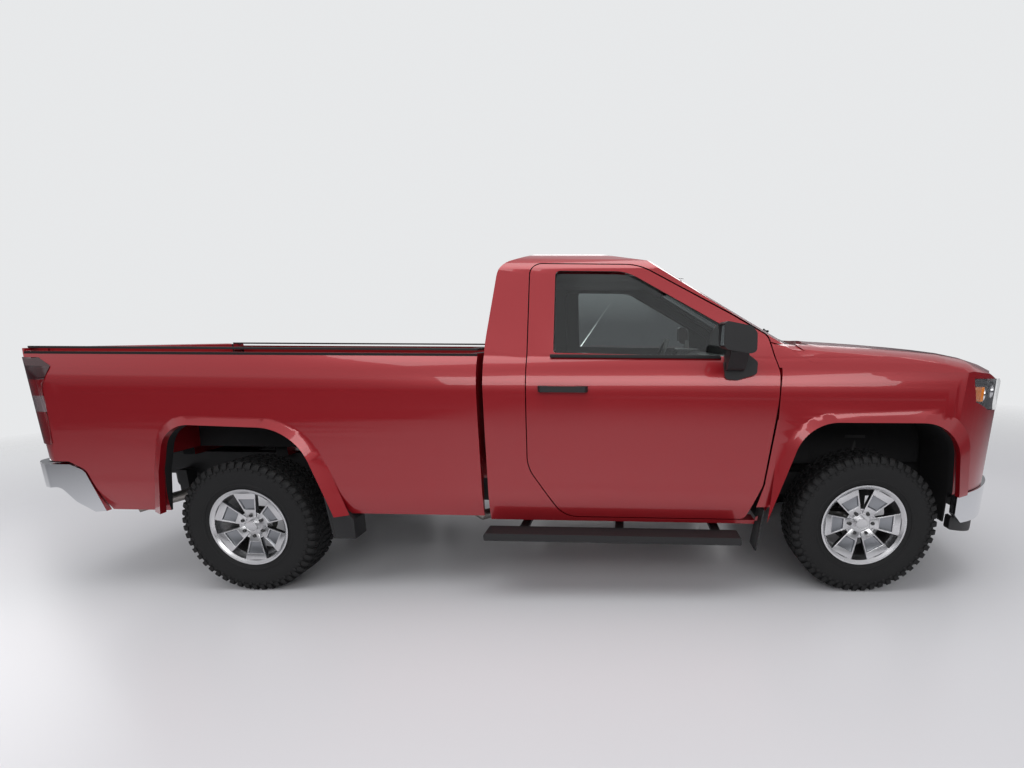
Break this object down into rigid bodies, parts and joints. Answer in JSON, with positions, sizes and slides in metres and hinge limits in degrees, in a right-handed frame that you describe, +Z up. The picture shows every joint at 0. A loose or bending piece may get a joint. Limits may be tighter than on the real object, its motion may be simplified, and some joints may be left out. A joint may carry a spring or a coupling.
{
  "type": "pickup truck",
  "caption": "Single-cab four-wheel-drive pickup truck with a long open bed, opening doors, hood and tailgate, steered front wheels and rolling wheels.",
  "frame": {"origin": "on the ground under the middle of the truck's length and width, tyres standing on z = 0", "axes": "+X towards the nose, +Y towards the driver's (left) side, +Z up"},
  "size_m": [5.8311, 2.472, 1.9139],
  "materials": {
    "red_paint": "deep red clear-coated paint",
    "clear_glass": "tinted clear glass",
    "grey_trim": "grained dark grey interior plastic",
    "black_plastic": "textured black moulding",
    "liner_plastic": "rough black moulded liner",
    "seat_cloth": "black woven seat cloth",
    "lamp_lens": "clear lamp lens over reflectors",
    "tail_lens": "dark red lamp lens",
    "chrome": "bright chrome plate",
    "black_steel": "black waxed chassis steel",
    "cast_metal": "raw cast metal",
    "exhaust_steel": "aluminised steel",
    "bright_alloy": "machined and silver painted alloy",
    "tyre_rubber": "all-terrain tyre rubber"
  },
  "bodies": {
    "truck_body": {"cab_shell": "red_paint", "windshield": "clear_glass", "rear_window": "clear_glass", "dashboard": "grey_trim", "seat_base": "black_plastic", "seat_cushion": "seat_cloth", "seat_back": "seat_cloth", "fenders": "red_paint", "grille": "black_plastic", "headlamps": "lamp_lens", "front_bumper": "chrome", "front_valance": "black_plastic", "core_support": "black_steel", "wheel_liners": "liner_plastic", "bedsides": "red_paint", "bed_box": "red_paint", "bed_rail_caps": "black_plastic", "tail_lamps": "tail_lens", "rear_bumper": "chrome", "bumper_step_pads": "black_plastic", "frame_rails": "black_steel", "engine_block": "cast_metal", "driveline": "cast_metal", "exhaust": "exhaust_steel", "spare_wheel": "tyre_rubber", "running_boards": "black_plastic", "rear_axle": "black_steel", "front_suspension": "black_steel"},
    "door_left": {"door_left": "red_paint", "door_glass_left": "clear_glass", "door_trim_left": "black_plastic"},
    "door_right": {"door_right": "red_paint", "door_glass_right": "clear_glass", "door_trim_right": "black_plastic"},
    "hood": {"hood": "red_paint"},
    "tailgate": {"tailgate": "red_paint", "tailgate_handle": "black_plastic"},
    "steering_wheel": {"steering_wheel": "black_plastic"},
    "knuckle_left": {"knuckle_left": "cast_metal"},
    "knuckle_right": {"knuckle_right": "cast_metal"},
    "wheel_front_left": {"tyre_front_left": "tyre_rubber", "rim_front_left": "bright_alloy"},
    "wheel_front_right": {"tyre_front_right": "tyre_rubber", "rim_front_right": "bright_alloy"},
    "wheel_rear_left": {"tyre_rear_left": "tyre_rubber", "rim_rear_left": "bright_alloy"},
    "wheel_rear_right": {"tyre_rear_right": "tyre_rubber", "rim_rear_right": "bright_alloy"}
  },
  "joints": [
    {"name": "door_left_hinge", "type": "hinge", "parent": "truck_body", "child": "door_left", "pos_m": [1.40019, 0.97, 0.87282], "axis": [-0.0227, 0, -0.9997], "range_deg": [0, 68]},
    {"name": "door_right_hinge", "type": "hinge", "parent": "truck_body", "child": "door_right", "pos_m": [1.40019, -0.97, 0.87282], "axis": [0.0227, 0, 0.9997], "range_deg": [0, 68]},
    {"name": "hood_hinge", "type": "hinge", "parent": "truck_body", "child": "hood", "pos_m": [1.66563, 0, 1.35192], "axis": [0, -1, 0], "range_deg": [0, 50]},
    {"name": "tailgate_hinge", "type": "hinge", "parent": "truck_body", "child": "tailgate", "pos_m": [-2.76651, 0, 0.88936], "axis": [0, -1, 0], "range_deg": [0, 90]},
    {"name": "steering_right", "type": "hinge", "parent": "truck_body", "child": "knuckle_right", "pos_m": [1.9755, -0.785, 0.398], "axis": [0, 0, 1], "range_deg": [-32, 32]},
    {"name": "steering_left", "type": "hinge", "parent": "truck_body", "child": "knuckle_left", "pos_m": [1.9755, 0.785, 0.398], "axis": [0, 0, 1], "range_deg": [-32, 32]},
    {"name": "steering_wheel_turn", "type": "hinge", "parent": "truck_body", "child": "steering_wheel", "pos_m": [0.89286, 0.4, 1.23842], "axis": [-0.9135, 0, 0.4067], "range_deg": [-520, 520]},
    {"name": "wheel_front_left_spin", "type": "hinge", "parent": "knuckle_left", "child": "wheel_front_left", "pos_m": [1.9755, 0.8715, 0.398], "axis": [0, 1, 0], "continuous": true},
    {"name": "wheel_front_right_spin", "type": "hinge", "parent": "knuckle_right", "child": "wheel_front_right", "pos_m": [1.9755, -0.8715, 0.398], "axis": [0, 1, 0], "continuous": true},
    {"name": "wheel_rear_left_spin", "type": "hinge", "parent": "truck_body", "child": "wheel_rear_left", "pos_m": [-1.5705, 0.8715, 0.398], "axis": [0, 1, 0], "continuous": true},
    {"name": "wheel_rear_right_spin", "type": "hinge", "parent": "truck_body", "child": "wheel_rear_right", "pos_m": [-1.5705, -0.8715, 0.398], "axis": [0, 1, 0], "continuous": true}
  ],
  "couplings": [
    {"joint": "steering_left", "follows": "steering_right", "ratio": 1},
    {"joint": "steering_wheel_turn", "follows": "steering_right", "ratio": 16}
  ]
}
